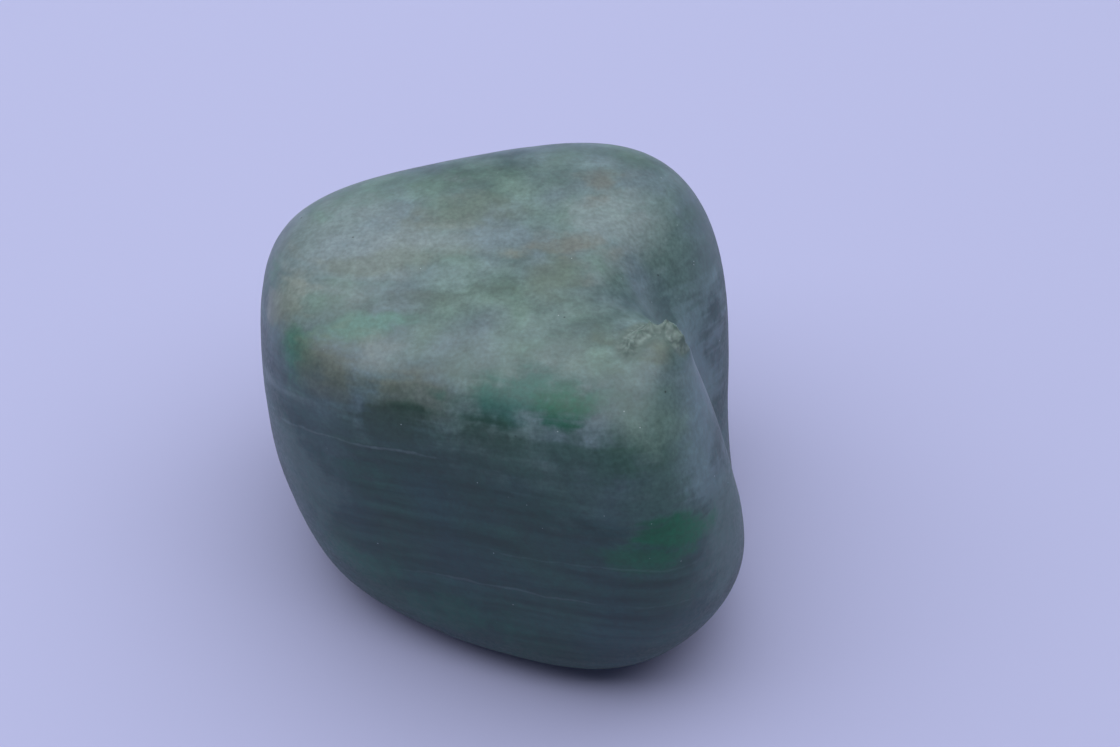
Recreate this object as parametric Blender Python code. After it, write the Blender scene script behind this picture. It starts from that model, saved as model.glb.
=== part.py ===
"""A raw jade boulder: one water-worn stone of grey-green jadeite, about 63 mm across.

A river wears a broken block by rolling it, so its faces stay nearly flat while every edge between
them is rounded away. The stone is built in the same way. It starts as a ball, and each point of the
ball moves out along its own ray until it meets the worn faces, which are blended into each other by
a soft minimum. The hollow on the right flank and the slow swells of the skin follow the same rays, and
the crusty lip beside the hollow is raised on top. The underside is flat where the stone rests.

Shape values are in millimetres. The mesh is in metres, +Z up, with the stone standing on z = 0 and
the middle of its bounding box on the Z axis. Azimuth 0 points right (+X) and 90 points back (+Y).
"""
import math

import bmesh
import bpy
import numpy as np
from mathutils import Vector

MM = 0.001

NAME = "jade_boulder"
CUTTERS = "cutters"

# The rays start at this height above the ground, near the middle of the stone.
HEART_HEIGHT = 26.0

# Each worn face: azimuth and elevation of its outward normal in degrees, and its distance from the
# heart of the stone.
WORN_FACES = {
    "top": (200, 86, 25.3),
    "top_front": (248, 46, 37.0),
    "top_back": (105, 42, 32.4),
    "top_left_back": (148, 28, 40.9),
    "top_right": (24, 36, 39.0),
    "back": (92, -4, 28.4),
    "back_left": (134, -8, 39.9),
    "back_left_low": (145, -38, 37.1),
    "back_low": (85, -45, 37.0),
    "back_right": (40, -5, 38.2),
    "front": (249, 2, 27.0),
    "front_low": (238, -40, 47.0),
    "left": (190, 0, 30.9),
    "left_low": (217, -28, 35.1),
    "right": (14, -8, 33.9),
    "right_low": (20, -50, 37.7),
    "right_shoulder": (342, 22, 34.2),
    "right_front": (318, -8, 43.8),
    "right_front_low": (310, -46, 42.9),
    "under": (90, -90, 27.0),
}
# A high power keeps the faces flat and the edges tight, a low one wears the block to an egg.
FACE_POWER = 7.0

# The hollow in the right flank is a scoop with a short front wall and a long, gentle back wall. Its
# valley runs down the flank and slants forward, by SCOOP_SLANT for each millimetre down.
SCOOP_DEPTH = 6.6
SCOOP_TOP = 50.0
SCOOP_VALLEY_Y = -6.5
SCOOP_SLANT = 0.08
SCOOP_FRONT_WIDTH = 7.5
SCOOP_BACK_WIDTH = 14.0
SCOOP_WALL_CHANGE = (-7.0, 5.0)
SCOOP_FLANK_X = (10.0, 27.0)
SCOOP_HEIGHT = (2.0, 30.0)

# The lip is the rough end of the spur in front of the hollow. Soft hills stand straight up from the
# skin there: a mound, the neck in front of it, and the knobs along its back edge. Each hill is (x, y
# from the lip's middle, height, width).
LIP_MIDDLE = (21.9, -16.4)
LIP_HEIGHT = (38.0, 47.0)
LIP_HILLS = (
    (-0.4, 0.3, 3.1, 4.1),
    (-2.4, -4.8, 1.0, 4.5),
    (-6.4, -2.3, 0.68, 0.9),
    (-6.3, -0.9, 0.85, 0.8),
    (-5.2, 0.6, 0.84, 0.9),
    (-3.8, 1.8, 1.39, 0.9),
    (-1.6, 2.1, 1.84, 1.0),
    (-0.2, 1.4, 1.49, 0.9),
    (0.7, 0.1, 1.94, 0.9),
)

# The knobs are finer than the rest of the skin, so the ball's triangles are halved twice in a cone
# round the lip: its azimuth, elevation and half angle in degrees.
LIP_CONE = (322, 46, 12)
LIP_HALVINGS = 2

# Slow swells of the worn skin are a few waves that cross. Each one: its length, the azimuth and
# elevation in degrees that it runs along, its shift in degrees, and how far it rises or sinks.
SWELLS = (
    (51.0, 25, 30, 270, 0.16),
    (37.0, 110, -20, 140, 0.14),
    (29.0, 160, 50, 330, 0.11),
    (23.0, 60, -55, 270, 0.08),
    (17.0, 135, 15, 350, 0.06),
    (13.0, 5, 70, 230, 0.05),
)

BALL_SUBDIVISIONS = 6
KEPT_SHARE_OF_FACES = 0.39

# Where the stone rests it is ground flat; the cutter below the ground is wider than the stone.
CUTTER_SIZE = (90.0, 90.0, 12.0)

# Finish: waxy, half-polished jadeite.
STONE_COLOR = (0.150, 0.222, 0.212, 1.0)
STONE_ROUGHNESS = 0.42


def clear_scene():
    """Remove every object, so that the script gives the same scene in any file."""
    for thing in list(bpy.data.objects):
        bpy.data.objects.remove(thing, do_unlink=True)


def collection_named(name):
    """Make a collection in the scene."""
    group = bpy.data.collections.new(name)
    bpy.context.scene.collection.children.link(group)
    return group


def unit_vector(azimuth, elevation):
    """The direction at an azimuth and an elevation in degrees."""
    turn = math.radians(azimuth)
    lift = math.radians(elevation)
    return np.array([math.cos(turn) * math.cos(lift), math.sin(turn) * math.cos(lift), math.sin(lift)])


def smooth_step(low, high, value):
    """0 below low, 1 above high, and a soft rise between."""
    share = np.clip((value - low) / (high - low), 0.0, 1.0)
    return share * share * (3.0 - 2.0 * share)


def worn_block_reach(rays):
    """Distance from the heart to the worn block along each ray.

    A ray meets a face at distance / (ray . normal). The soft minimum of those distances over all
    the faces is the block with its edges worn round.
    """
    nearness = np.zeros(len(rays))
    for azimuth, elevation, distance in WORN_FACES.values():
        facing = np.clip(rays @ unit_vector(azimuth, elevation), 0.0, None)
        nearness += (facing / distance) ** FACE_POWER
    return nearness ** (-1.0 / FACE_POWER)


def scoop_depth(points):
    """How far the hollow in the right flank sinks at each point of the worn block."""
    x, y, z = points.T
    from_valley = y - SCOOP_VALLEY_Y + SCOOP_SLANT * (SCOOP_TOP - z)
    back_share = smooth_step(*SCOOP_WALL_CHANGE, from_valley)
    width = SCOOP_FRONT_WIDTH + (SCOOP_BACK_WIDTH - SCOOP_FRONT_WIDTH) * back_share
    across = np.exp(-(from_valley / width) ** 2)
    on_flank = smooth_step(*SCOOP_FLANK_X, x)
    above_foot = smooth_step(*SCOOP_HEIGHT, z)
    return SCOOP_DEPTH * across * on_flank * above_foot


def lip_rise(points):
    """How far the rough lip stands up from each point of the skin."""
    x, y, z = points.T
    rise = np.zeros(len(points))
    for hill_x, hill_y, height, width in LIP_HILLS:
        away = np.hypot(x - LIP_MIDDLE[0] - hill_x, y - LIP_MIDDLE[1] - hill_y)
        rise += height * np.exp(-(away / width) ** 2)
    return rise * smooth_step(*LIP_HEIGHT, z)


def swell_rise(points):
    """Slow rises and dips of the worn skin, where the crossing waves add up or cancel out."""
    rise = np.zeros(len(points))
    for length, azimuth, elevation, shift, height in SWELLS:
        waves_along = points @ unit_vector(azimuth, elevation) / length
        rise += height * np.sin(2.0 * math.pi * waves_along + math.radians(shift))
    return rise


def stone_points(rays):
    """Points of the stone's skin in millimetres, one for each ray from its heart."""
    heart = np.array([0.0, 0.0, HEART_HEIGHT])
    reach = worn_block_reach(rays)
    block = heart + rays * reach[:, None]
    reach = reach - scoop_depth(block) + swell_rise(block)
    points = heart + rays * reach[:, None]
    points[:, 2] += lip_rise(points)
    return points


def centred(points):
    """Move the points so that the middle of their bounding box is on the Z axis."""
    middle = (points.min(axis=0) + points.max(axis=0)) / 2.0
    return points - np.array([middle[0], middle[1], 0.0])


def halve_triangles_at_lip(ball):
    """Cut the edges of the unit ball in half where the lip will stand."""
    azimuth, elevation, half_angle = LIP_CONE
    to_lip = Vector(unit_vector(azimuth, elevation))
    nearest = math.cos(math.radians(half_angle))
    for _ in range(LIP_HALVINGS):
        near = {vertex for vertex in ball.verts if vertex.co.normalized().dot(to_lip) > nearest}
        edges = [edge for edge in ball.edges if near.issuperset(edge.verts)]
        bmesh.ops.subdivide_edges(ball, edges=edges, cuts=1, use_grid_fill=True)
    bmesh.ops.triangulate(ball, faces=ball.faces[:])


def stone_mesh():
    """Shape a ball of small triangles into the stone."""
    mesh = bpy.data.meshes.new(NAME)
    ball = bmesh.new()
    bmesh.ops.create_icosphere(ball, subdivisions=BALL_SUBDIVISIONS, radius=1.0)
    halve_triangles_at_lip(ball)
    rays = np.array([vertex.co.normalized() for vertex in ball.verts])
    for vertex, point in zip(ball.verts, centred(stone_points(rays))):
        vertex.co = Vector(point) * MM
    ball.to_mesh(mesh)
    ball.free()
    return mesh


def ground_cutter(group):
    """A slab below the ground that takes the flat resting face off the underside."""
    mesh = bpy.data.meshes.new("ground_cutter")
    slab = bmesh.new()
    bmesh.ops.create_cube(slab, size=1.0)
    width, depth, height = CUTTER_SIZE
    bmesh.ops.scale(slab, vec=Vector((width, depth, height)) * MM, verts=slab.verts)
    bmesh.ops.translate(slab, vec=Vector((0.0, 0.0, -height / 2.0)) * MM, verts=slab.verts)
    slab.to_mesh(mesh)
    slab.free()
    cutter = bpy.data.objects.new("ground_cutter", mesh)
    cutter.hide_render = True
    cutter.display_type = "WIRE"
    group.objects.link(cutter)
    return cutter


def jade_material():
    """Waxy grey-green jadeite."""
    material = bpy.data.materials.new("waxy_jadeite")
    material.use_nodes = True
    shader = material.node_tree.nodes["Principled BSDF"]
    shader.inputs["Base Color"].default_value = STONE_COLOR
    shader.inputs["Roughness"].default_value = STONE_ROUGHNESS
    shader.inputs["Metallic"].default_value = 0.0
    return material


def build():
    """Make the boulder and its cutter."""
    clear_scene()
    group = collection_named(NAME)
    cutters = collection_named(CUTTERS)
    stone = bpy.data.objects.new(NAME, stone_mesh())
    group.objects.link(stone)
    stone.data.materials.append(jade_material())
    stone.data.shade_smooth()

    thin_out = stone.modifiers.new("thin_out", "DECIMATE")
    thin_out.decimate_type = "COLLAPSE"
    thin_out.ratio = KEPT_SHARE_OF_FACES

    rest = stone.modifiers.new("resting_face", "BOOLEAN")
    rest.operation = "DIFFERENCE"
    rest.solver = "EXACT"
    rest.object = ground_cutter(cutters)


build()
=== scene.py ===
# %% [markdown]
# # A raw jade boulder
#
# Jadeite is a tough stone of tiny grains that lock into each other. A river tumbles a broken block
# of it until its faces are smooth and its edges are round, and the skin takes a waxy half polish.
# This boulder is grey green, 63 mm across, paler on top, with emerald patches and olive stains. It
# has a hollow in its right flank, and beside the hollow a lip with a pale, rough crust.
#
# The imported CAD model is loaded first. It is the fixed frame: it says how big the stone is and
# where it stands, and the detailed skin that is made here takes the place of its plain solid.

# %% Load the imported model and keep its parts
import math

import bmesh
import bpy
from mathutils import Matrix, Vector


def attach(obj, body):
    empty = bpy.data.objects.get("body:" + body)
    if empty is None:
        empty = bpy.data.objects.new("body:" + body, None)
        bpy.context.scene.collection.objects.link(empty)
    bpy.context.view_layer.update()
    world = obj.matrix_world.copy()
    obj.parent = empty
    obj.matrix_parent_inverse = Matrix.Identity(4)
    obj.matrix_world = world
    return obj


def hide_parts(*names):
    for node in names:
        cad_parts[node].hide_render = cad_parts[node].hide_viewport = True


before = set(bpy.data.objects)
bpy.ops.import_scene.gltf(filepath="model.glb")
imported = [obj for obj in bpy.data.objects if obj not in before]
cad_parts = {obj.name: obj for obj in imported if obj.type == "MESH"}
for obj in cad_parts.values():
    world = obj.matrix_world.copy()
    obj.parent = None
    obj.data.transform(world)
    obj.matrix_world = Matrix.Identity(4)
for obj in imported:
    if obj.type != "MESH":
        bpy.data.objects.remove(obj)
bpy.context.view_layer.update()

MM = 0.001

# %% [markdown]
# ## Two small helpers
#
# Colours are written as the hex values that a paint program shows, and shaders want linear light,
# so one function turns the one into the other. Trees of nodes are easier to read when each node is
# one call that names its kind, its inputs and its settings, so a second function adds a node. Its
# inputs can be given by name or by number. Numbers help with a Mix node, which has one pair of
# inputs for each kind of value: 2 and 3 are its plain numbers, and 6 and 7 its colours.

# %% Helpers
def to_linear(hex_colour):
    """A hex colour such as #7E9A92 as linear red, green, blue and alpha."""
    shares = [int(hex_colour[i:i + 2], 16) / 255.0 for i in (1, 3, 5)]
    return [s / 12.92 if s <= 0.04045 else ((s + 0.055) / 1.055) ** 2.4 for s in shares] + [1.0]


def add(tree, kind, inputs=(), **settings):
    """Add a node. Inputs come in order or by name: a node or a socket is linked, a value is set."""
    node = tree.nodes.new(kind)
    for name, value in settings.items():
        setattr(node, name, value)
    for key, value in inputs.items() if isinstance(inputs, dict) else enumerate(inputs):
        if isinstance(value, bpy.types.Node):
            value = next(socket for socket in value.outputs if socket.enabled)
        if isinstance(value, bpy.types.NodeSocket):
            tree.links.new(value, node.inputs[key])
        else:
            node.inputs[key].default_value = value
    return node


print("pale jade in linear light:", [round(v, 3) for v in to_linear("#A9B8AE")[:3]])

# %% [markdown]
# ## The ball that the stone is worn from
#
# The skin could be sculpted, or grown from the CAD mesh by smoothing it. Sculpting leaves nothing
# to adjust, and smoothing keeps the traces of big triangles. A fine ball that a rule pushes into
# shape gives an even skin instead. Each of its points slides along its own ray from the heart of
# the stone. The crusty lip needs grains finer than a millimetre, so the ball gets smaller triangles
# there.

# %% Make the ball, with finer triangles towards the lip
# Places are in millimetres from the point on the ground below the heart of the stone.
HEART = Vector((0.0, 0.0, 26.0))
CREST_OF_LIP = Vector((19.4, -15.8, 51.0))
BALL_SUBDIVISIONS = 5
EDGE_CUTS = 4
# Half angles of two cones round the lip. Inside each one every edge is cut in half.
FINE_ZONES_DEG = (17.0, 14.0)


def make_ball():
    """A ball of even triangles, with its edges halved once more in each cone round the lip."""
    ball = bmesh.new()
    bmesh.ops.create_icosphere(ball, subdivisions=BALL_SUBDIVISIONS, radius=1.0)
    bmesh.ops.subdivide_edges(ball, edges=ball.edges[:], cuts=EDGE_CUTS, use_grid_fill=True)
    to_lip = (CREST_OF_LIP - HEART).normalized()
    for zone in FINE_ZONES_DEG:
        reach = math.cos(math.radians(zone))
        near = {v for v in ball.verts if v.co.normalized().dot(to_lip) > reach}
        edges = [e for e in ball.edges if e.verts[0] in near and e.verts[1] in near]
        bmesh.ops.subdivide_edges(ball, edges=edges, cuts=1, use_grid_fill=True)
    for vertex in ball.verts:
        vertex.co.normalize()
    mesh = bpy.data.meshes.new("ball")
    ball.to_mesh(mesh)
    ball.free()
    return mesh


ball_mesh = make_ball()
print("ball:", len(ball_mesh.vertices), "points,", len(ball_mesh.polygons), "faces")

# %% [markdown]
# ## The rule that wears the block
#
# On the real stone the old faces of the block are still there, nearly flat, and the river has
# rounded only the edges between them. A ray meets a face at distance / (ray . normal). The soft
# minimum of that over all the faces gives flat faces and round edges, and one power says how round.
# Geometry Nodes suit this, because the whole shape follows one rule, and its sizes stay inputs that
# can be changed.

# %% Sizes of the worn block, in millimetres and degrees
# Each worn face: azimuth and elevation of its outward normal, and its distance from the heart.
WORN_FACES = {
    "top": (200, 86, 25.3),
    "top_front": (248, 46, 37.0),
    "top_back": (105, 42, 32.4),
    "top_left_back": (148, 28, 40.9),
    "top_right": (24, 36, 39.0),
    "back": (92, -4, 28.4),
    "back_left": (134, -8, 39.9),
    "back_left_low": (145, -38, 37.1),
    "back_low": (85, -45, 37.0),
    "back_right": (40, -5, 38.2),
    "front": (249, 2, 27.0),
    "front_low": (238, -40, 47.0),
    "left": (190, 0, 30.9),
    "left_low": (217, -28, 35.1),
    "right": (14, -8, 33.9),
    "right_low": (20, -50, 37.7),
    "right_shoulder": (342, 22, 34.2),
    "right_front": (318, -8, 43.8),
    "right_front_low": (310, -46, 42.9),
    "under": (90, -90, 27.0),
}
# A high power keeps the faces flat and the edges tight, a low one wears the block to an egg.
FACE_POWER = 7.0
# Each swell: its length, the azimuth and elevation that it runs along, its shift and its height.
SWELLS = (
    (51.0, 25, 30, 270, 0.16),
    (37.0, 110, -20, 140, 0.14),
    (29.0, 160, 50, 330, 0.11),
    (23.0, 60, -55, 270, 0.08),
    (17.0, 135, 15, 350, 0.06),
    (13.0, 5, 70, 230, 0.05),
)

print(len(WORN_FACES), "worn faces,", len(SWELLS), "swells")


# %% Nodes of the worn block
def unit_vector(azimuth, elevation):
    """The direction at an azimuth and an elevation in degrees."""
    turn, lift = math.radians(azimuth), math.radians(elevation)
    return Vector((math.cos(turn) * math.cos(lift), math.sin(turn) * math.cos(lift), math.sin(lift)))


def worn_block(tree, ray, power):
    """The distance from the heart to the worn block along each ray."""
    total = None
    for azimuth, elevation, distance in WORN_FACES.values():
        normal = unit_vector(azimuth, elevation) / distance
        facing = add(tree, "ShaderNodeVectorMath", [ray, normal], operation="DOT_PRODUCT")
        facing = add(tree, "ShaderNodeMath", [facing.outputs["Value"], 0.0], operation="MAXIMUM")
        nearness = add(tree, "ShaderNodeMath", [facing, power], operation="POWER")
        total = nearness if total is None else add(tree, "ShaderNodeMath", [total, nearness])
    root = add(tree, "ShaderNodeMath", [-1.0, power], operation="DIVIDE")
    return add(tree, "ShaderNodeMath", [total, root], operation="POWER")


def swells(tree, place):
    """Slow rises and dips, where a few crossing waves add up or cancel out."""
    total = 0.0
    for length, azimuth, elevation, shift, height in SWELLS:
        wave = unit_vector(azimuth, elevation) * (2.0 * math.pi / length)
        along = add(tree, "ShaderNodeVectorMath", [place, wave], operation="DOT_PRODUCT")
        phase = add(tree, "ShaderNodeMath", [along.outputs["Value"], math.radians(shift)])
        rise = add(tree, "ShaderNodeMath", [phase], operation="SINE")
        total = add(tree, "ShaderNodeMath", [rise, height, total], operation="MULTIPLY_ADD")
    return total


print("edge power", FACE_POWER)

# %% [markdown]
# ## The hollow and the lip
#
# The hollow is a scoop down the right flank, with a short, steep front wall and a long back wall.
# The spur of stone in front of it ends on top in a lip, where the skin was never worn down. The
# hollow sinks along the rays, and the lip stands straight up. Both are made of soft hills, because
# a worn stone has no sharp start or end of a form. A soft hill is exp(-(distance / width)^2).

# %% Sizes of the hollow and the lip, in millimetres
SCOOP_DEPTH = 6.6
# The valley runs down the flank and slants forward, by SCOOP_SLANT for each millimetre down.
SCOOP_TOP = 50.0
SCOOP_VALLEY_Y = -6.5
SCOOP_SLANT = 0.08
SCOOP_FRONT_WIDTH = 7.5
SCOOP_BACK_WIDTH = 14.0
SCOOP_WALL_CHANGE = (-7.0, 5.0)
SCOOP_FLANK_X = (10.0, 27.0)
SCOOP_HEIGHT = (2.0, 30.0)
LIP_MIDDLE = (21.9, -16.4)
LIP_HEIGHT = (38.0, 47.0)
# The lip is a mound, the neck in front of it, and the knobs along its back edge. Each hill: its
# place to the right and to the back of the lip's middle, its height and its width.
LIP_MOUND = (-0.4, 0.3, 3.1, 4.1)
LIP_NECK = (-2.4, -4.8, 1.0, 4.5)
LIP_KNOBS = (
    (-6.4, -2.3, 0.68, 0.9),
    (-6.3, -0.9, 0.85, 0.8),
    (-5.2, 0.6, 0.84, 0.9),
    (-3.8, 1.8, 1.39, 0.9),
    (-1.6, 2.1, 1.84, 1.0),
    (-0.2, 1.4, 1.49, 0.9),
    (0.7, 0.1, 1.94, 0.9),
)

print("hollow", SCOOP_DEPTH, "mm deep, lip with", len(LIP_KNOBS), "knobs")


# %% Nodes of the hollow and the lip
def soft_hill(tree, distance, width):
    """1 at the middle of a hill and nothing far outside its width."""
    share = add(tree, "ShaderNodeMath", [distance, width], operation="DIVIDE")
    square = add(tree, "ShaderNodeMath", [share, share], operation="MULTIPLY")
    sunk = add(tree, "ShaderNodeMath", [square, -1.0], operation="MULTIPLY")
    return add(tree, "ShaderNodeMath", [sunk], operation="EXPONENT")


def scoop(tree, place, depth):
    """How far the hollow sinks."""
    axis = add(tree, "ShaderNodeSeparateXYZ", [place]).outputs
    at_ground = SCOOP_SLANT * SCOOP_TOP - SCOOP_VALLEY_Y
    lean = add(tree, "ShaderNodeMath", [axis["Z"], -SCOOP_SLANT, at_ground],
               operation="MULTIPLY_ADD")
    from_valley = add(tree, "ShaderNodeMath", [axis["Y"], lean])
    width = add(tree, "ShaderNodeMapRange",
                [from_valley, *SCOOP_WALL_CHANGE, SCOOP_FRONT_WIDTH, SCOOP_BACK_WIDTH],
                interpolation_type="SMOOTHSTEP")
    on_flank = add(tree, "ShaderNodeMapRange", [axis["X"], *SCOOP_FLANK_X],
                   interpolation_type="SMOOTHSTEP")
    above_foot = add(tree, "ShaderNodeMapRange", [axis["Z"], *SCOOP_HEIGHT],
                     interpolation_type="SMOOTHSTEP")
    sunk = add(tree, "ShaderNodeMath", [soft_hill(tree, from_valley, width), depth],
               operation="MULTIPLY")
    sunk = add(tree, "ShaderNodeMath", [sunk, on_flank], operation="MULTIPLY")
    return add(tree, "ShaderNodeMath", [sunk, above_foot], operation="MULTIPLY")


def sum_of_hills(tree, place, hills, heights, wider=1.0):
    """What some hills of the lip add up to, from nothing below two heights to all of it above."""
    axis = add(tree, "ShaderNodeSeparateXYZ", [place]).outputs
    plan = add(tree, "ShaderNodeCombineXYZ", [axis["X"], axis["Y"], 0.0])
    total = 0.0
    for x, y, height, width in hills:
        middle = Vector((LIP_MIDDLE[0] + x, LIP_MIDDLE[1] + y, 0.0))
        away = add(tree, "ShaderNodeVectorMath", [plan, middle], operation="DISTANCE")
        hill = soft_hill(tree, away.outputs["Value"], width * wider)
        total = add(tree, "ShaderNodeMath", [hill, height, total], operation="MULTIPLY_ADD")
    standing = add(tree, "ShaderNodeMapRange", [axis["Z"], *heights],
                   interpolation_type="SMOOTHSTEP")
    return add(tree, "ShaderNodeMath", [total, standing], operation="MULTIPLY")


print("tallest knob", max(height for _, _, height, _ in LIP_KNOBS), "mm")

# %% [markdown]
# ## The fine relief of the skin
#
# A water-worn skin is not quite smooth. Harder layers stand a little proud of softer ones, knocks
# from other stones leave shallow dents, and the lip was never rolled smooth, so it still has the
# grains of the fresh break. Displacing the mesh suits this better than a bump pattern, because the
# relief then shows on the outline as well. All of it sinks below the rule's surface, so that the
# skin stays inside the CAD box.

# %% Sizes of the relief, in millimetres
# The layers of the stone dip towards the back.
LAYER_TILT = math.radians(-24.0)
LAYER_RIDGES = {"length": 16.0, "thickness": 1.5, "depth": 0.06}
WAVINESS = {"size": 5.0, "depth": 0.09}
DENTS = {"spacing": 8.5, "radius_share": 0.33, "depth": 0.10}
SKIN_GRAIN = {"size": 0.9, "depth": 0.03}
# The crust is the rough skin round the knobs of the lip: lumps, and grains on the lumps. It
# spreads wider than the knobs, and it fades in between two heights.
CRUST_SPREAD = 1.9
CRUST_HEIGHT = (48.5, 50.5)
CRUST_LUMPS = {"size": 0.95, "depth": 0.26}
CRUST_GRAINS = {"size": 0.42, "depth": 0.18}
SKIN_INSET = 0.03
RELIEF_SEED = 7.0

print("layers dip", round(-math.degrees(LAYER_TILT)), "degrees towards the back")


# %% Nodes of the relief
def skin_relief(tree, place, seed):
    """How far the worn skin sinks: ridges of the layers, slow waves, knocks and grain."""
    layered = add(tree, "ShaderNodeVectorRotate",
                  {"Vector": place, "Axis": (1.0, 0.0, 0.0), "Angle": -LAYER_TILT},
                  rotation_type="AXIS_ANGLE")
    flat = Vector((1.0, 1.0, LAYER_RIDGES["length"] / LAYER_RIDGES["thickness"]))
    layered = add(tree, "ShaderNodeVectorMath", [layered, flat], operation="MULTIPLY")
    sunk = 0.0
    for where, size, depth in ((layered, LAYER_RIDGES["length"], LAYER_RIDGES["depth"]),
                               (place, WAVINESS["size"], WAVINESS["depth"]),
                               (place, SKIN_GRAIN["size"], SKIN_GRAIN["depth"])):
        rise = add(tree, "ShaderNodeTexNoise",
                   {"Vector": where, "W": seed, "Detail": 2.0, "Scale": 1.0 / size},
                   noise_dimensions="4D")
        sunk = add(tree, "ShaderNodeMath", [rise, depth, sunk], operation="MULTIPLY_ADD")
    knocks = add(tree, "ShaderNodeTexVoronoi",
                 {"Vector": place, "W": seed, "Scale": 1.0 / DENTS["spacing"]},
                 voronoi_dimensions="4D")
    dents = add(tree, "ShaderNodeMapRange",
                [knocks.outputs["Distance"], DENTS["radius_share"], 0.0],
                interpolation_type="SMOOTHSTEP")
    return add(tree, "ShaderNodeMath", [dents, DENTS["depth"], sunk], operation="MULTIPLY_ADD")


def crust_relief(tree, place, seed):
    """How far the crust sinks: rounded lumps with gaps between them, and grains on the lumps."""
    sunk = 0.0
    for layer in (CRUST_LUMPS, CRUST_GRAINS):
        cells = add(tree, "ShaderNodeTexVoronoi",
                    {"Vector": place, "W": seed, "Scale": 1.0 / layer["size"]},
                    voronoi_dimensions="4D")
        sunk = add(tree, "ShaderNodeMath", [cells.outputs["Distance"], layer["depth"], sunk],
                   operation="MULTIPLY_ADD")
    return sunk


print("crust of", CRUST_LUMPS["size"], "mm lumps")

# %% [markdown]
# ## The tree
#
# The tree joins the steps: ray, worn block, hollow, swells and lip, then the middle of the box is
# moved to the Z axis as in the CAD, then the relief, and last the flat face that the stone rests
# on. It also leaves two attributes on the mesh, which the finish reads: how much crust there is at
# each point, and how deep that point lies in the crust. The same could be done with arrays in
# Python, but a tree keeps its sizes as inputs, so the stone can be worn again with other ones.

# %% Build the tree
# What the tree can be asked for. A share of 1 is the whole of an effect, and 0 leaves it out.
TREE_INPUTS = {
    "Edge Power": FACE_POWER,
    "Hollow Depth": SCOOP_DEPTH,
    "Lip Share": 1.0,
    "Relief Share": 1.0,
    "Crust Share": 1.0,
    "Seed": RELIEF_SEED,
}
# The higher of a place and this one: X and Y stay, and no Z is below the ground.
GROUND = (-1000.0, -1000.0, 0.0)


def shape_of_stone(tree, given):
    """The place of each point of the ball on the stone, and its share of crust."""
    ray = add(tree, "ShaderNodeVectorMath", [add(tree, "GeometryNodeInputPosition")],
              operation="NORMALIZE")
    reach = worn_block(tree, ray, given["Edge Power"])
    block = add(tree, "ShaderNodeVectorMath", {0: ray, "Scale": reach}, operation="SCALE")
    block = add(tree, "ShaderNodeVectorMath", [block, HEART])
    reach = add(tree, "ShaderNodeMath", [reach, scoop(tree, block, given["Hollow Depth"])],
                operation="SUBTRACT")
    reach = add(tree, "ShaderNodeMath", [reach, swells(tree, block)])
    skin = add(tree, "ShaderNodeVectorMath", {0: ray, "Scale": reach}, operation="SCALE")
    skin = add(tree, "ShaderNodeVectorMath", [skin, HEART])
    rise = sum_of_hills(tree, skin, (LIP_MOUND, LIP_NECK, *LIP_KNOBS), LIP_HEIGHT)
    rise = add(tree, "ShaderNodeMath", [rise, given["Lip Share"]], operation="MULTIPLY")
    rise = add(tree, "ShaderNodeCombineXYZ", [0.0, 0.0, rise])
    skin = add(tree, "ShaderNodeVectorMath", [skin, rise])
    crust = sum_of_hills(tree, skin, LIP_KNOBS, CRUST_HEIGHT, CRUST_SPREAD)
    return skin, add(tree, "ShaderNodeMath", [crust, 1.0], operation="MINIMUM")


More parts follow.
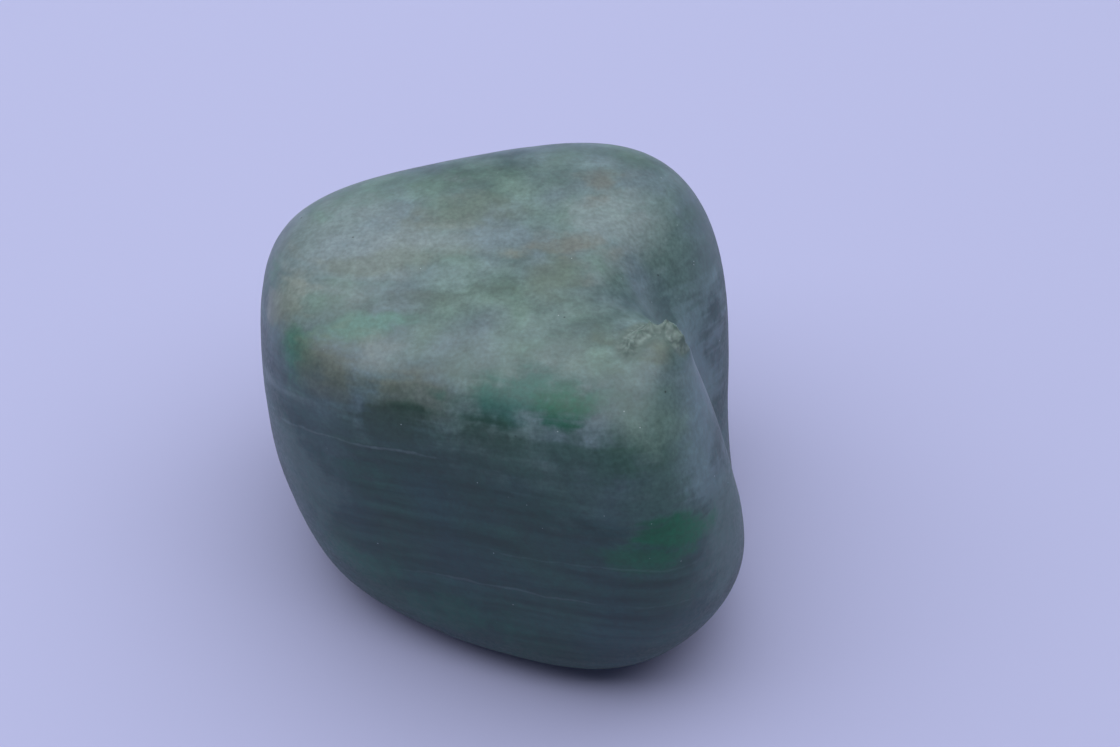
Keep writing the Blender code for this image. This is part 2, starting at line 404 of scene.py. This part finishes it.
def stone_tree():
    """Geometry Nodes that turn the ball into the boulder."""
    tree = bpy.data.node_groups.new("wear_the_boulder", "GeometryNodeTree")
    sockets = tree.interface
    sockets.new_socket("Geometry", in_out="OUTPUT", socket_type="NodeSocketGeometry")
    sockets.new_socket("Geometry", in_out="INPUT", socket_type="NodeSocketGeometry")
    for name in TREE_INPUTS:
        sockets.new_socket(name, in_out="INPUT", socket_type="NodeSocketFloat")
    sockets.new_socket("Material", in_out="INPUT", socket_type="NodeSocketMaterial")
    given = add(tree, "NodeGroupInput").outputs

    skin, crust_share = shape_of_stone(tree, given)
    marked = add(tree, "GeometryNodeStoreNamedAttribute",
                 {"Geometry": given["Geometry"], "Name": "crust", "Value": crust_share},
                 data_type="FLOAT")
    shaped = add(tree, "GeometryNodeSetPosition", {"Geometry": marked, "Position": skin})
    box = add(tree, "GeometryNodeBoundBox", [shaped])
    corners = add(tree, "ShaderNodeVectorMath", [box.outputs["Min"], box.outputs["Max"]])
    to_axis = add(tree, "ShaderNodeVectorMath", [corners, (-0.5, -0.5, 0.0)],
                  operation="MULTIPLY")
    centred = add(tree, "GeometryNodeSetPosition", {"Geometry": shaped, "Offset": to_axis})

    place = add(tree, "GeometryNodeInputPosition")
    crust = add(tree, "GeometryNodeInputNamedAttribute", {"Name": "crust"}, data_type="FLOAT")
    crust_depth = crust_relief(tree, place, given["Seed"])
    dug = add(tree, "GeometryNodeStoreNamedAttribute",
              {"Geometry": centred, "Name": "crust_depth", "Value": crust_depth},
              data_type="FLOAT")
    sunk = skin_relief(tree, place, given["Seed"])
    sunk = add(tree, "ShaderNodeMath", [sunk, given["Relief Share"], SKIN_INSET],
               operation="MULTIPLY_ADD")
    rough = add(tree, "ShaderNodeMath", [crust_depth, crust], operation="MULTIPLY")
    sunk = add(tree, "ShaderNodeMath", [rough, given["Crust Share"], sunk],
               operation="MULTIPLY_ADD")
    inwards = add(tree, "ShaderNodeMath", [sunk, -1.0], operation="MULTIPLY")
    relief = add(tree, "ShaderNodeVectorMath",
                 {0: add(tree, "GeometryNodeInputNormal"), "Scale": inwards}, operation="SCALE")
    carved = add(tree, "GeometryNodeSetPosition", {"Geometry": dug, "Offset": relief})

    above = add(tree, "ShaderNodeVectorMath", [add(tree, "GeometryNodeInputPosition"), GROUND],
                operation="MAXIMUM")
    rested = add(tree, "GeometryNodeSetPosition", {"Geometry": carved, "Position": above})
    metres = add(tree, "GeometryNodeTransform", {"Geometry": rested, "Scale": (MM, MM, MM)})
    smooth = add(tree, "GeometryNodeSetShadeSmooth", {"Geometry": metres})
    real = add(tree, "GeometryNodeRealizeInstances", {"Geometry": smooth})
    finished = add(tree, "GeometryNodeSetMaterial",
                   {"Geometry": real, "Material": given["Material"]})
    add(tree, "NodeGroupOutput", {"Geometry": finished})
    return tree


boulder_tree = stone_tree()
print("tree:", len(boulder_tree.nodes), "nodes")

# %% [markdown]
# ## The finish: water-worn jadeite
#
# Jadeite is a felt of tiny interlocked grains, so the stone is cloudy inside, and light goes in a
# little way and comes out soft. Its colour comes in thin layers of blue grey and green grey, cut
# across by the front face. The top lies along the layers and is paler. Chromium makes the emerald
# patches, iron from the river bed the olive and rust stains. The river left a waxy half
# polish.
#
# The colour could be one noise run through a ramp, but then the streaks of the front, the clouds of
# the top and the patches would all look alike. So it is laid down in the order in which the stone
# got it: body, paler top, patches, grain, specks, and last the crust. All patterns read the
# Object coordinates, in millimetres, so they run through the stone like the real layers do.

# %% Colours and sizes of the body
DEEP_LAYER = "#183735"
PALE_LAYER = "#2F5753"
DEEP_TOP = "#4B6163"
PALE_TOP = "#7B8D91"
GREEN_CAST = "#EAFFEC"
BLUE_CAST = "#EEF6FF"
# Length along the layers and thickness across them, in millimetres.
BROAD_LAYERS = (26.0, 3.2)
FINE_LAYERS = (14.0, 1.1)
CLOUD_SIZE = 6.5
CAST_SIZE = 10.0
# The patterns wander about their straight places: over what length, and how wide the wander is.
DRIFT = {"size": 7.0, "reach": 2.4, "share_for_fine_layers": 0.4}
# The paler top fades in between these heights, and clouds and streaks move its edge by up to this.
PALER_TOP_HEIGHT = (35.0, 50.5)
PALER_TOP_WANDER = 9.0
# Two patterns are mixed in each of these: 0 is all of the first one, 1 all of the second.
FINE_IN_STREAKS = 0.5
STREAKS_IN_TOP = 0.3
# A pattern hardly leaves its middle values. Each span is stretched to run from nothing to all.
STREAK_SPAN = (0.34, 0.68)
TOP_SPAN = (0.36, 0.64)
CAST_SPAN = (0.35, 0.65)
MIDDLE_OF_NOISE = (0.5, 0.5, 0.5)

print("layers from", FINE_LAYERS[1], "to", BROAD_LAYERS[1], "mm thick")


# %% Nodes of the body
def along_layers(tree, place, length, thickness):
    """A noise that is drawn out along the stone's layers."""
    laid = add(tree, "ShaderNodeMapping",
               {"Vector": place, "Rotation": (LAYER_TILT, 0.0, 0.0),
                "Scale": (length, length, thickness)},
               vector_type="TEXTURE")
    return add(tree, "ShaderNodeTexNoise", {"Vector": laid, "Scale": 1.0, "Detail": 2.5})


def drifted(tree, place, reach):
    """Places that wander a little, so that what is drawn on them is never quite straight."""
    drift = add(tree, "ShaderNodeTexNoise",
                {"Vector": place, "Scale": 1.0 / DRIFT["size"], "Detail": 3.0}).outputs["Color"]
    drift = add(tree, "ShaderNodeVectorMath", [drift, MIDDLE_OF_NOISE], operation="SUBTRACT")
    drift = add(tree, "ShaderNodeVectorMath", {0: drift, "Scale": reach}, operation="SCALE")
    return add(tree, "ShaderNodeVectorMath", [place, drift])


def paler_top_share(tree, place, streaks, clouds):
    """The share of the paler top colour: none low down, all of it on top, with a ragged edge
    between.
    """
    height = add(tree, "ShaderNodeSeparateXYZ", [place]).outputs["Z"]
    for pattern in (clouds, streaks):
        height = add(tree, "ShaderNodeMath", [pattern, PALER_TOP_WANDER, height],
                     operation="MULTIPLY_ADD")
    # Both patterns are about a half on average, so together they add about the whole wander.
    low, high = (edge + PALER_TOP_WANDER for edge in PALER_TOP_HEIGHT)
    return add(tree, "ShaderNodeMapRange", [height, low, high], interpolation_type="SMOOTHSTEP")


def body_colour(tree, place, streaks, clouds):
    """Dark layers below, a paler and cloudy top, and over both a cast of blue or green."""
    share = add(tree, "ShaderNodeMapRange", [streaks, *STREAK_SPAN])
    layers = add(tree, "ShaderNodeMix",
                 {0: share, 6: to_linear(DEEP_LAYER), 7: to_linear(PALE_LAYER)}, data_type="RGBA")
    share = add(tree, "ShaderNodeMix", {0: STREAKS_IN_TOP, 2: clouds, 3: streaks})
    share = add(tree, "ShaderNodeMapRange", [share, *TOP_SPAN])
    top = add(tree, "ShaderNodeMix", {0: share, 6: to_linear(DEEP_TOP), 7: to_linear(PALE_TOP)},
              data_type="RGBA")
    colour = add(tree, "ShaderNodeMix",
                 {0: paler_top_share(tree, place, streaks, clouds), 6: layers, 7: top},
                 data_type="RGBA")
    cast = add(tree, "ShaderNodeTexNoise",
               {"Vector": place, "Scale": 1.0 / CAST_SIZE, "Detail": 2.0})
    cast = add(tree, "ShaderNodeMapRange", [cast, *CAST_SPAN])
    cast = add(tree, "ShaderNodeMix", {0: cast, 6: to_linear(BLUE_CAST), 7: to_linear(GREEN_CAST)},
               data_type="RGBA")
    return add(tree, "ShaderNodeMix", {0: 1.0, 6: colour, 7: cast}, data_type="RGBA",
               blend_type="MULTIPLY")


print("bleached above", PALER_TOP_HEIGHT[1], "mm")

# %% [markdown]
# ## Patches and veins
#
# The patches of the real stone are bodies inside it that the river cut open, so each one is a soft
# ellipsoid that lies along the layers, and the skin shows where it cuts through. They could be
# painted on the skin instead, but paint would stretch over the edges. The streaks and the clouds
# push the edge of each patch in and out. A vein is the same thing with almost no thickness. Three
# patches are painted light and shade instead: pale blue-grey light on the right flank and in the
# hollow, and slate grey shade in the dip beside the lip.

# %% Where the patches are
EMERALD = "#00603F"
APPLE = "#0F5F4A"
LEAF = "#276A57"
TEAL = "#336A63"
DEEP_GREEN = "#1F3A2E"
DEEP_TEAL = "#1F423B"
FOREST = "#3B5F54"
FERN = "#3F7A66"
MINT = "#5F9084"
PINE = "#4C6C66"
SAGE = "#64807C"
OLIVE = "#5E6B57"
MOSS = "#4B5B50"
RUST = "#6E6D60"
CLAY = "#6C7569"
SAND = "#8F978C"
CLOUD = "#8B9BA0"
MIST = "#74888C"
# Slate grey: a colour of the stone on the left flank, and painted shade in the dip beside the lip.
SLATE = "#4C6468"
# Painted light, not a colour of the stone: pale blue-grey for the right flank and the hollow.
PAINTED_BLUE_LIGHT = "#7B989F"

# Each patch: its middle in millimetres, its half sizes (to the right, along the layers towards the
# back, across the layers), its colour and how much of it there is.
PATCHES = (
    # The paler top.
    ((-21.0, 6.0, 49.0), (14.0, 15.0, 6.0), CLOUD, 0.55),
    ((-8.0, 3.5, 51.0), (11.0, 3.0, 4.0), CLOUD, 0.45),
    ((15.0, 7.0, 51.0), (7.0, 9.0, 5.0), CLOUD, 0.6),
    ((24.5, 8.0, 45.0), (6.0, 10.0, 9.0), SAGE, 0.55),
    ((-3.7, 8.8, 51.4), (8.0, 2.6, 4.0), OLIVE, 0.4),
    ((-12.5, 1.0, 50.5), (10.0, 1.6, 4.0), OLIVE, 0.35),
    ((-9.0, -6.5, 49.5), (9.0, 1.8, 4.0), MOSS, 0.3),
    ((8.8, 2.5, 51.8), (5.5, 1.8, 4.0), RUST, 0.55),
    ((12.7, 14.3, 51.6), (2.2, 4.5, 4.0), RUST, 0.45),
    ((6.2, -3.5, 51.5), (3.0, 4.0, 4.0), OLIVE, 0.4),
    ((-26.4, -2.3, 46.4), (3.5, 6.0, 4.5), SAND, 0.5),
    # The edge between the top and the front.
    ((-17.0, -9.2, 48.4), (7.5, 1.7, 2.8), MINT, 0.6),
    ((-24.8, -9.8, 44.7), (2.2, 3.4, 4.4), FERN, 0.65),
    ((-20.0, -13.4, 45.0), (8.0, 4.0, 4.6), CLAY, 0.7),
    ((-14.3, -13.4, 47.8), (6.0, 2.6, 3.2), CLOUD, 0.45),
    ((-9.6, -18.6, 45.4), (9.0, 3.4, 3.6), CLAY, 0.55),
    ((-2.5, -15.0, 49.9), (6.0, 2.8, 3.0), MIST, 0.3),
    ((8.2, -17.0, 50.5), (4.0, 2.2, 3.0), CLOUD, 0.3),
    ((2.0, -21.3, 48.4), (9.0, 4.2, 3.6), TEAL, 0.85),
    ((7.6, -23.0, 48.5), (3.4, 2.6, 2.8), APPLE, 0.85),
    # Painted shade: slate grey darkens the dip on the left of the lip.
    ((15.5, -17.5, 50.5), (8.0, 6.0, 4.5), SLATE, 0.35),
    ((17.0, -16.2, 52.1), (4.5, 3.6, 3.0), OLIVE, 0.6),
    ((18.5, -22.5, 45.5), (6.0, 5.0, 5.0), SAGE, 0.5),
    # The front and both flanks.
    ((18.0, -27.0, 38.0), (9.0, 7.0, 6.0), PINE, 0.5),
    # Painted light: pale blue-grey on the right flank beside the spur, where the light catches it.
    ((25.5, -20.5, 41.0), (6.0, 8.0, 10.0), PAINTED_BLUE_LIGHT, 0.5),
    ((29.0, -21.0, 25.0), (4.5, 10.0, 9.0), PINE, 0.7),
    # Painted light: pale blue-grey that lightens the shaded back wall of the hollow.
    ((26.5, -1.0, 33.5), (7.0, 9.0, 10.5), PAINTED_BLUE_LIGHT, 0.5),
    ((-22.0, -16.0, 36.0), (7.0, 5.0, 8.0), SLATE, 0.5),
    ((-26.0, -12.0, 27.0), (6.0, 8.0, 9.0), PINE, 0.6),
    ((-19.0, -17.0, 15.0), (8.0, 6.0, 3.6), LEAF, 0.4),
    ((-8.0, -23.5, 11.5), (10.0, 6.0, 3.0), LEAF, 0.4),
    # The dark band under the edge, and the emerald on the right.
    ((-8.0, -22.5, 39.5), (13.0, 7.0, 5.0), DEEP_TEAL, 0.5),
    ((-10.0, -21.0, 42.4), (11.0, 6.0, 3.4), FOREST, 0.5),
    ((7.0, -26.0, 43.6), (16.0, 6.0, 3.2), FOREST, 0.6),
    ((-14.0, -19.0, 41.9), (6.0, 4.0, 2.6), DEEP_GREEN, 0.45),
    ((-2.0, -22.8, 43.6), (8.0, 4.0, 2.2), DEEP_GREEN, 0.4),
    ((22.3, -29.6, 32.8), (5.2, 6.0, 3.2), EMERALD, 1.0),
    ((18.6, -30.6, 30.2), (5.5, 6.0, 2.4), EMERALD, 0.7),
    # The back and the left side.
    ((-6.0, 28.0, 33.0), (10.0, 6.0, 3.0), LEAF, 0.6),
    ((14.0, 29.0, 22.0), (7.0, 6.0, 2.6), EMERALD, 0.55),
    ((-22.0, 18.0, 26.0), (8.0, 7.0, 3.0), OLIVE, 0.45),
    ((-29.0, -1.0, 30.0), (5.0, 9.0, 2.6), TEAL, 0.4),
    # Thin pale veins along the layers.
    ((-20.0, -16.0, 36.2), (14.0, 12.0, 0.26), MIST, 0.4),
    ((-26.0, -11.0, 38.6), (7.0, 9.0, 0.7), MIST, 0.45),
    ((12.0, -28.0, 27.0), (15.0, 9.0, 0.18), MIST, 0.15),
    ((6.0, -26.0, 19.5), (18.0, 9.0, 0.18), MIST, 0.2),
    ((4.0, 28.0, 27.5), (18.0, 9.0, 0.20), MIST, 0.3),
)
# Distances from the middle of a patch, as shares of its half sizes: where it starts, and where it
# has all of its colour.
PATCH_EDGE = (1.4, 0.3)
# How strongly the fine layers and the clouds push the edge in and out. 0 leaves an even ellipsoid.
RAGGED = 2.4
CLOUDS_IN_EDGE = 0.7

print(len(PATCHES), "patches and veins")


# %% Nodes of one patch
def lay_patch(tree, colour, place, ragged, middle, sizes, hue, amount):
    """Lay one soft, ragged patch of a colour over the stone."""
    local = add(tree, "ShaderNodeMapping",
                {"Vector": place, "Location": middle, "Scale": sizes,
                 "Rotation": (LAYER_TILT, 0.0, 0.0)},
                vector_type="TEXTURE")
    away = add(tree, "ShaderNodeVectorMath", [local], operation="LENGTH").outputs["Value"]
    away = add(tree, "ShaderNodeMath", [away, ragged])
    share = add(tree, "ShaderNodeMapRange", [away, *PATCH_EDGE, 0.0, amount],
                interpolation_type="SMOOTHSTEP")
    return add(tree, "ShaderNodeMix", {0: share, 6: colour, 7: to_linear(hue)}, data_type="RGBA")


print("half thickness of the finest vein:", min(sizes[2] for _, sizes, _, _ in PATCHES), "mm")

# %% [markdown]
# ## Grain, specks and crust
#
# Close up the stone is granular, with a few cleavage faces whose glints are painted as bright
# specks, and a few pits whose shade is painted as dark specks. The fresh break of the lip is paler
# than the worn skin, because each grain there scatters light at its own small faces. These could
# be scattered as tiny pieces of mesh, but they are flush with the skin, so colour is enough. The
# tree of the shape has left its two attributes on the mesh for the crust, so its pale grains are
# exactly the ones that stand up.

# %% Sizes of grain and specks, and their nodes
# Real jadeite grains are near 0.2 mm. They are drawn a little coarser, because finer would not show.
GRAIN = {"size": 0.55, "contrast": (0.85, 1.15)}
MOTTLE = {"size": 1.9, "contrast": (0.85, 1.15)}
GRAIN_SPAN = (0.3, 0.7)
# Painted glints: bright specks where small cleavage faces catch the light.
PAINTED_GLINT_SPECKS = {"spacing": 1.9, "radius_share": 0.055, "kept": 0.70, "colour": "#B4C2C6"}
# Painted shade: dark specks for the shade inside tiny pits.
PAINTED_PIT_SHADE = {"spacing": 4.2, "radius_share": 0.045, "kept": 0.55, "colour": "#222C2C"}
# The part of a speck's radius that has all of its colour. Outside it the colour fades.
SPECK_CORE = 0.4


def lay_specks(tree, colour, place, specks):
    """Small round specks, in only some of the cells that the stone is divided into."""
    cells = add(tree, "ShaderNodeTexVoronoi", {"Vector": place, "Scale": 1.0 / specks["spacing"]})
    radius = specks["radius_share"]
    near = add(tree, "ShaderNodeMapRange",
               [cells.outputs["Distance"], radius, radius * SPECK_CORE])
    draw = add(tree, "ShaderNodeSeparateXYZ", [cells.outputs["Color"]]).outputs["X"]
    kept = add(tree, "ShaderNodeMath", [draw, specks["kept"]], operation="GREATER_THAN")
    share = add(tree, "ShaderNodeMath", [near, kept], operation="MULTIPLY")
    share = add(tree, "ShaderNodeMath", [share, draw], operation="MULTIPLY")
    return add(tree, "ShaderNodeMix", {0: share, 6: colour, 7: to_linear(specks["colour"])},
               data_type="RGBA")


print("cells for bright specks:", PAINTED_GLINT_SPECKS["spacing"], "mm, for pits:", PAINTED_PIT_SHADE["spacing"], "mm")

# %% Nodes of the crust
CRUST_TOPS = "#8A9C99"
CRUST_GAPS = "#607370"
# Depths in millimetres at which a grain of the crust counts as sunk and as raised.
SUNK_AND_RAISED = (0.30, 0.08)
# The crust's share grows towards a knob. Each span says where an effect starts and where it is full.
KNOB_SPAN = (0.35, 0.90)
CRUST_SPAN = (0.2, 0.6)
ROUGHER_SPAN = (0.1, 0.6)


def lay_crust(tree, colour, share):
    """The fresh break of the lip: pale along the knobs where a grain stands up, darker elsewhere."""
    deep = add(tree, "ShaderNodeAttribute", attribute_name="crust_depth").outputs["Fac"]
    raised = add(tree, "ShaderNodeMapRange", [deep, *SUNK_AND_RAISED])
    on_knob = add(tree, "ShaderNodeMapRange", [share, *KNOB_SPAN])
    pale = add(tree, "ShaderNodeMath", [raised, on_knob], operation="MULTIPLY")
    crust = add(tree, "ShaderNodeMix",
                {0: pale, 6: to_linear(CRUST_GAPS), 7: to_linear(CRUST_TOPS)}, data_type="RGBA")
    share = add(tree, "ShaderNodeMapRange", [share, *CRUST_SPAN])
    return add(tree, "ShaderNodeMix", {0: share, 6: colour, 7: crust}, data_type="RGBA")


print("crust from", CRUST_GAPS, "to", CRUST_TOPS)

# %% [markdown]
# ## Putting the finish together
#
# The index of refraction of jadeite is 1.66, higher than glass, and with a half-polished roughness
# it gives the waxy sheen that grows towards the outline. A worn skin is full of tiny scratches that
# eat some of that sheen, so the specular level is below its usual half. A little subsurface light
# takes the hardness off the shadows. Each of these could get a map of its own, but on one kind of
# stone they hardly change from place to place, so they go on the shader's own sockets.

# %% Build the finish
JADEITE_IOR = 1.66
WORN_SPECULAR = 0.35
POLISH = (0.34, 0.50)
CRUST_ROUGHER_BY = 0.4
GLOW = {"weight": 0.2, "radius": (0.9, 1.5, 1.2), "scale_mm": 1.2}
GRAIN_BUMP = {"strength": 0.35, "height_mm": 0.02}


def granular_colour(tree, colour, place, grain):
    """Lighten and darken a colour by the grain and by a coarser mottle."""
    mottle = add(tree, "ShaderNodeTexNoise",
                 {"Vector": place, "Scale": 1.0 / MOTTLE["size"], "Detail": 4.0, "Roughness": 0.65})
    brightness = 1.0
    for pattern, contrast in ((mottle, MOTTLE["contrast"]), (grain, GRAIN["contrast"])):
        share = add(tree, "ShaderNodeMapRange", [pattern, *GRAIN_SPAN, *contrast])
        brightness = add(tree, "ShaderNodeMath", [share, brightness], operation="MULTIPLY")
    return add(tree, "ShaderNodeVectorMath", {0: colour, "Scale": brightness}, operation="SCALE")


def jadeite():
    """Water-worn jadeite. The half polish gives a waxy sheen, the light inside a cloudy depth."""
    material = bpy.data.materials.new("water_worn_jadeite")
    material.use_nodes = True
    tree = material.node_tree
    tree.nodes.clear()
    spot = add(tree, "ShaderNodeTexCoord").outputs["Object"]
    place = add(tree, "ShaderNodeVectorMath", {0: spot, "Scale": 1.0 / MM}, operation="SCALE")
    bent = drifted(tree, place, DRIFT["reach"])
    broad = along_layers(tree, bent, *BROAD_LAYERS)
    less_bent = drifted(tree, place, DRIFT["reach"] * DRIFT["share_for_fine_layers"])
    fine = along_layers(tree, less_bent, *FINE_LAYERS)
    streaks = add(tree, "ShaderNodeMix", {0: FINE_IN_STREAKS, 2: broad, 3: fine})
    clouds = add(tree, "ShaderNodeTexNoise",
                 {"Vector": bent, "Scale": 1.0 / CLOUD_SIZE, "Detail": 6.0, "Roughness": 0.6})
    grain = add(tree, "ShaderNodeTexNoise",
                {"Vector": place, "Scale": 1.0 / GRAIN["size"], "Detail": 3.0})

    colour = body_colour(tree, bent, streaks, clouds)
    ragged = add(tree, "ShaderNodeMix", {0: CLOUDS_IN_EDGE, 2: fine, 3: clouds})
    ragged = add(tree, "ShaderNodeMapRange", [ragged, 0.0, 1.0, -RAGGED, RAGGED])
    for middle, sizes, hue, amount in PATCHES:
        colour = lay_patch(tree, colour, bent, ragged, middle, sizes, hue, amount)
    colour = granular_colour(tree, colour, bent, grain)
    for specks in (PAINTED_GLINT_SPECKS, PAINTED_PIT_SHADE):
        colour = lay_specks(tree, colour, place, specks)
    crust = add(tree, "ShaderNodeAttribute", attribute_name="crust").outputs["Fac"]
    colour = lay_crust(tree, colour, crust)

    polish = add(tree, "ShaderNodeMapRange", [grain, *GRAIN_SPAN, *POLISH])
    rougher = add(tree, "ShaderNodeMapRange", [crust, *ROUGHER_SPAN, 0.0, CRUST_ROUGHER_BY])
    bump = add(tree, "ShaderNodeBump",
               {"Height": grain, "Strength": GRAIN_BUMP["strength"],
                "Distance": GRAIN_BUMP["height_mm"] * MM})
    shader = add(tree, "ShaderNodeBsdfPrincipled", {
        "Base Color": colour,
        "Roughness": add(tree, "ShaderNodeMath", [polish, rougher]),
        "Normal": bump,
        "IOR": JADEITE_IOR,
        "Specular IOR Level": WORN_SPECULAR,
        "Subsurface Weight": GLOW["weight"],
        "Subsurface Radius": GLOW["radius"],
        "Subsurface Scale": GLOW["scale_mm"] * MM,
    })
    add(tree, "ShaderNodeOutputMaterial", {"Surface": shader})
    return material


jade = jadeite()
print("finish:", len(jade.node_tree.nodes), "nodes")

# %% [markdown]
# ## Wearing the ball
#
# The modifier could stay live on the object, but other programs can't read Geometry Nodes. So it is
# evaluated once, its result becomes a plain mesh, and the modifier is taken off again. A modifier's
# inputs are set by the identifiers of their sockets, which stay the same when a socket is renamed.

# %% Wear the ball into the boulder
def set_input(modifier, name, value):
    """Set an input of a Geometry Nodes modifier by the identifier behind its name."""
    items = modifier.node_group.interface.items_tree
    modifier[next(item.identifier for item in items if item.name == name)] = value


boulder = bpy.data.objects.new("boulder_skin", ball_mesh)
bpy.context.scene.collection.objects.link(boulder)
wear = boulder.modifiers.new("wear", "NODES")
wear.node_group = boulder_tree
for input_name, input_value in TREE_INPUTS.items():
    set_input(wear, input_name, input_value)
set_input(wear, "Material", jade)
depsgraph = bpy.context.evaluated_depsgraph_get()
worn = bpy.data.meshes.new_from_object(boulder.evaluated_get(depsgraph),
                                       preserve_all_data_layers=True, depsgraph=depsgraph)
boulder.modifiers.remove(wear)
boulder.data = worn
triangles = sum(len(face.vertices) - 2 for face in worn.polygons)
print("skin:", len(worn.vertices), "points,", triangles, "triangles")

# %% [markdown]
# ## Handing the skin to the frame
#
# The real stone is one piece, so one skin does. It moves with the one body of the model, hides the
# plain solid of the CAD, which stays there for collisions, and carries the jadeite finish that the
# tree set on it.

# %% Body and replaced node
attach(boulder, "root")
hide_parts("jade_boulder")
print("pieces:", boulder.name)

# %% [markdown]
# ## Floor and light
#
# The stone lies on pale lavender-blue cloth in soft daylight from above and a little from the left
# and the back. A plain matt floor of that colour throws the same blue up at the flanks. Small lamps
# would give hard shadows. One wide softbox close overhead makes the top lighter than the front and
# leaves only a soft pool of shadow, and a weak one at the back gives the far edges their thin sheen.

# %% Floor
FLOOR_COLOUR = "#BEC2EB"
FLOOR_HALF = 1.5
MATT_ROUGHNESS = 0.9


def matt_paint(name, hue):
    """Matt paint: an even, pale ground without gloss, where only the stone's shadow shows."""
    material = bpy.data.materials.new(name)
    material.use_nodes = True
    tree = material.node_tree
    tree.nodes.clear()
    shader = add(tree, "ShaderNodeBsdfPrincipled",
                 {"Base Color": to_linear(hue), "Roughness": MATT_ROUGHNESS})
    add(tree, "ShaderNodeOutputMaterial", {"Surface": shader})
    return material


corners = [(x * FLOOR_HALF, y * FLOOR_HALF, 0.0) for x, y in ((-1, -1), (1, -1), (1, 1), (-1, 1))]
floor_mesh = bpy.data.meshes.new("floor")
floor_mesh.from_pydata(corners, [], [(0, 1, 2, 3)])
floor_mesh.materials.append(matt_paint("floor_matt_paint", FLOOR_COLOUR))
floor = bpy.data.objects.new("floor", floor_mesh)
bpy.context.scene.collection.objects.link(floor)
print("floor:", 2 * FLOOR_HALF, "m across")

# %% Light
# Each lamp: its place, the point that it faces, its two sides in metres, its watts and its colour.
SOFTBOXES = {
    "overhead_daylight": ((-0.22, 0.10, 0.80), (-0.22, 0.10, 0.0), (2.2, 1.05), 12.4, "#FFFFFF"),
    "back_window": ((0.0, 1.00, 0.60), (0.0, 0.0, 0.05), (1.2, 0.7), 1.4, "#F4F6FF"),
}
ROOM_COLOUR = "#E4E8FF"
ROOM_STRENGTH = 0.10


def softbox(name, place, aim, size, watts, hue):
    """A rectangular lamp at a place, turned to face a point."""
    lamp = bpy.data.lights.new(name, "AREA")
    lamp.shape = "RECTANGLE"
    lamp.size, lamp.size_y = size
    lamp.energy = watts
    lamp.color = to_linear(hue)[:3]
    holder = bpy.data.objects.new(name, lamp)
    holder.location = place
    holder.rotation_euler = (Vector(aim) - Vector(place)).to_track_quat("-Z", "Y").to_euler()
    bpy.context.scene.collection.objects.link(holder)


for box_name, box in SOFTBOXES.items():
    softbox(box_name, *box)
room = bpy.data.worlds.new("soft_room")
room.use_nodes = True
background = room.node_tree.nodes["Background"].inputs
background["Color"].default_value = to_linear(ROOM_COLOUR)
background["Strength"].default_value = ROOM_STRENGTH
bpy.context.scene.world = room
print("light:", len(SOFTBOXES), "softboxes and a dim room")

# %% [markdown]
# ## Camera
#
# The view is from 45 degrees above, from the front. A wide lens close by would swell the near side
# of the stone, so a long lens looks from a third of a metre away. The Standard view transform keeps
# the colours as they are, where a film look would grey the pale floor.

# %% Camera
CAMERA_ELEVATION = math.radians(45.0)
CAMERA_DISTANCE = 0.350
CAMERA_AIM = Vector((0.007634, 0.001708, 0.0295))
LENS_MM = 87.0
SENSOR_MM = 36.0

lens = bpy.data.cameras.new("camera")
lens.lens = LENS_MM
lens.sensor_width = SENSOR_MM
camera = bpy.data.objects.new("camera", lens)
to_camera = Vector((0.0, -math.cos(CAMERA_ELEVATION), math.sin(CAMERA_ELEVATION)))
camera.location = CAMERA_AIM + to_camera * CAMERA_DISTANCE
camera.rotation_euler = (-to_camera).to_track_quat("-Z", "Y").to_euler()
bpy.context.scene.collection.objects.link(camera)
bpy.context.scene.camera = camera
bpy.context.scene.view_settings.view_transform = "Standard"
print("camera", CAMERA_DISTANCE, "m from the middle of the stone")
